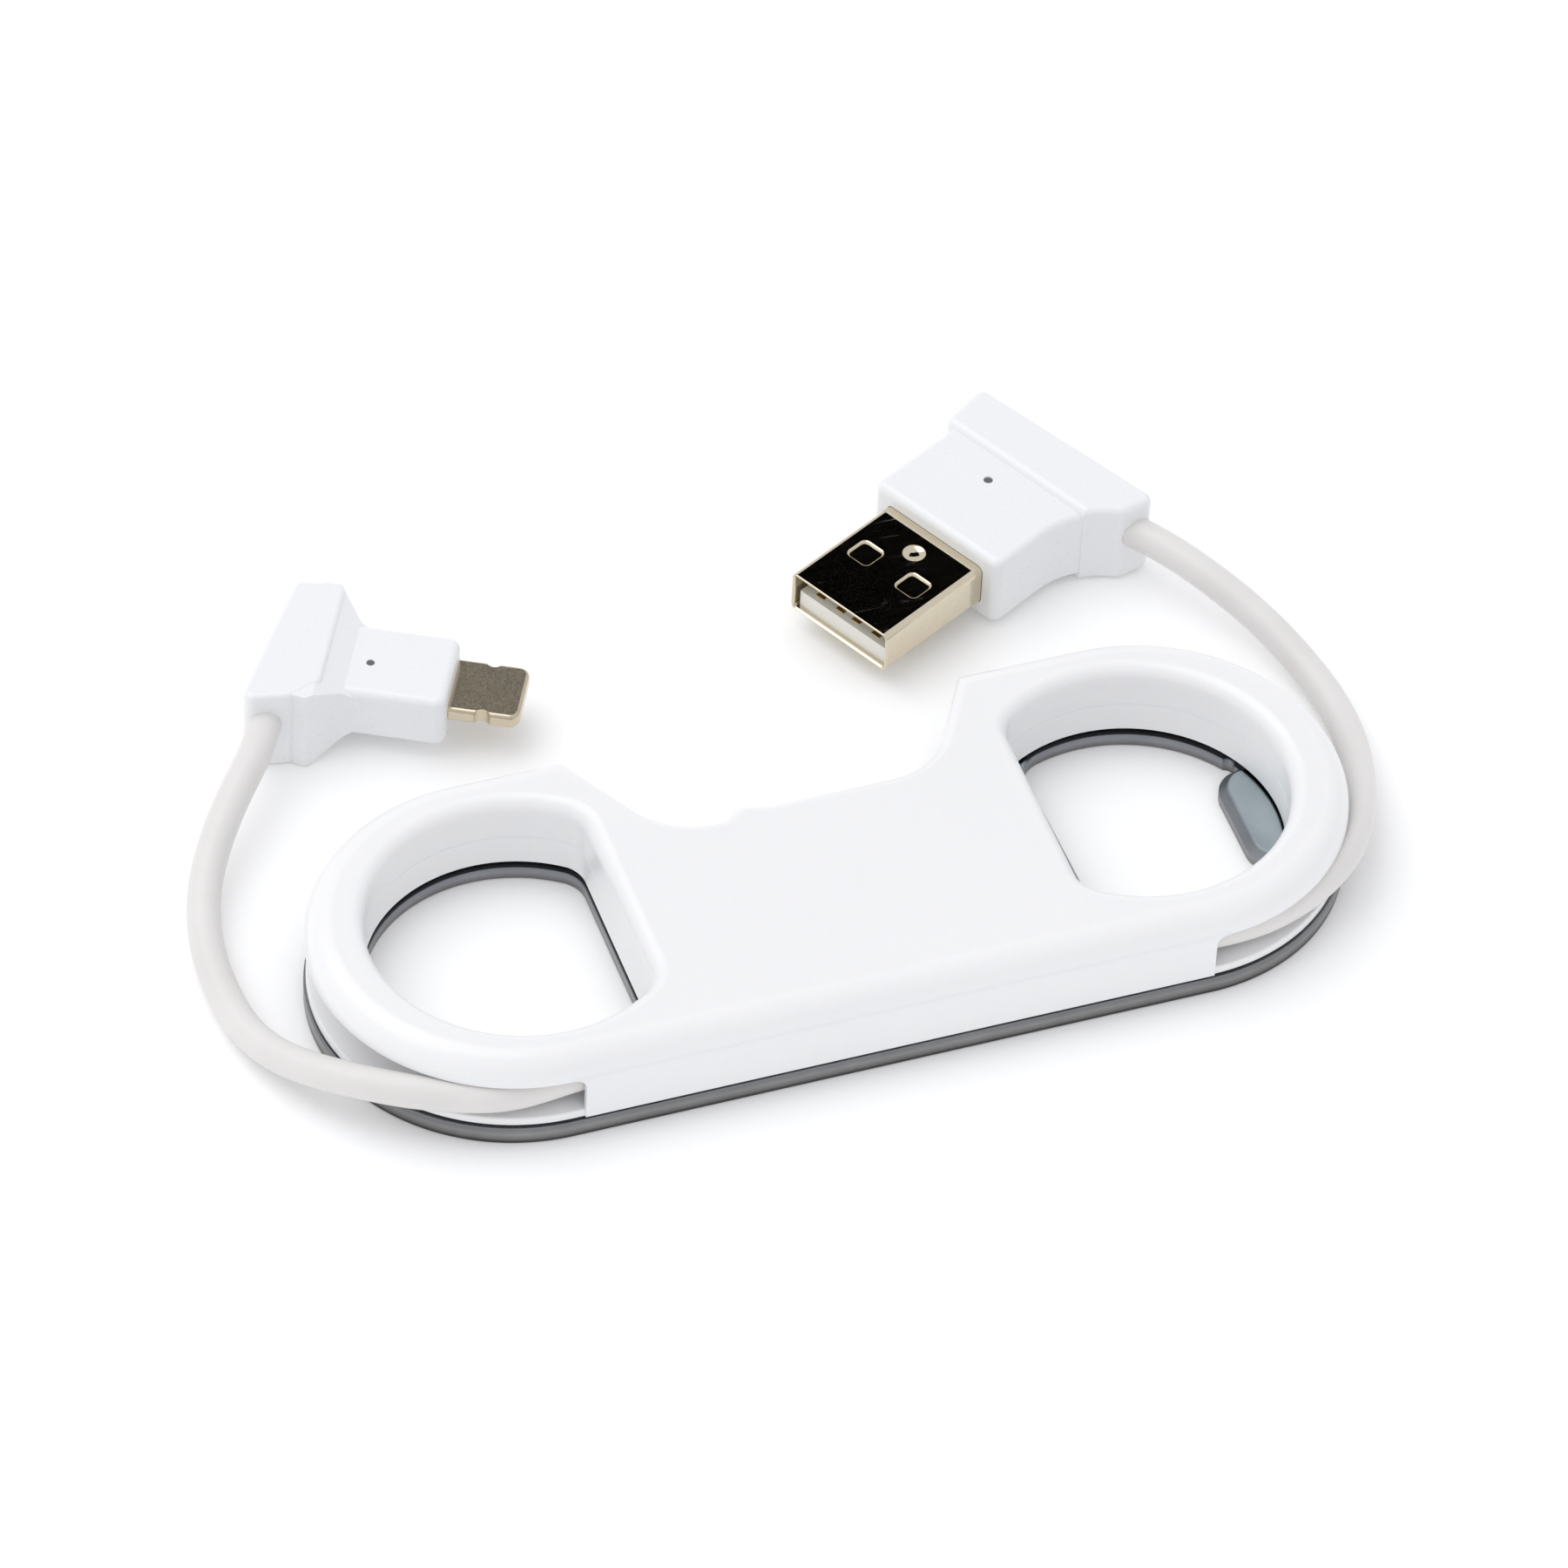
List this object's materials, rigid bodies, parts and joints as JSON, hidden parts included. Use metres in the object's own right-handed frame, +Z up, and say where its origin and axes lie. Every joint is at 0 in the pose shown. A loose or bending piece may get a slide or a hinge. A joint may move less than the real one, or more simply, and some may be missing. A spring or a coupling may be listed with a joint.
{
  "type": "bottle_opener_charging_cable",
  "caption": "Pocket bottle opener with two finger holes in a white housing; a short charging cable runs in a groove round its edge, with a plug on each end.",
  "frame": {"origin": "middle of the housing's underside, on the surface it lies on", "axes": "+X along the housing's length, toward the end with the opener's tooth; +Y toward the plug recess; +Z up"},
  "size_m": [0.1109, 0.0717, 0.0098],
  "materials": {
    "steel": "satin",
    "housing": "satin",
    "cable_jacket": "matte",
    "usb_nickel": "polished",
    "tongue_plastic": "matte",
    "inner_plastic": "matte",
    "plug_mould": "satin",
    "blade_metal": "satin",
    "insulator_black": "matte",
    "contact_gold": "polished",
    "board": "matte",
    "chip": "matte"
  },
  "bodies": {
    "root": {"opener_plate": "steel", "lower_shell": "housing", "upper_shell": "housing", "cable": "cable_jacket", "usb_shell": "usb_nickel", "usb_tongue": "tongue_plastic", "usb_contact_1": "contact_gold", "usb_contact_2": "contact_gold", "usb_contact_3": "contact_gold", "usb_contact_4": "contact_gold", "usb_inner_mould": "inner_plastic", "usb_overmould": "plug_mould", "blade_frame": "blade_metal", "blade_insulator": "insulator_black", "phone_contact_1": "contact_gold", "phone_contact_2": "contact_gold", "phone_contact_3": "contact_gold", "phone_contact_4": "contact_gold", "phone_contact_5": "contact_gold", "phone_contact_6": "contact_gold", "phone_contact_7": "contact_gold", "phone_contact_8": "contact_gold", "phone_board": "board", "phone_chip": "chip", "phone_overmould": "plug_mould"}
  },
  "joints": []
}
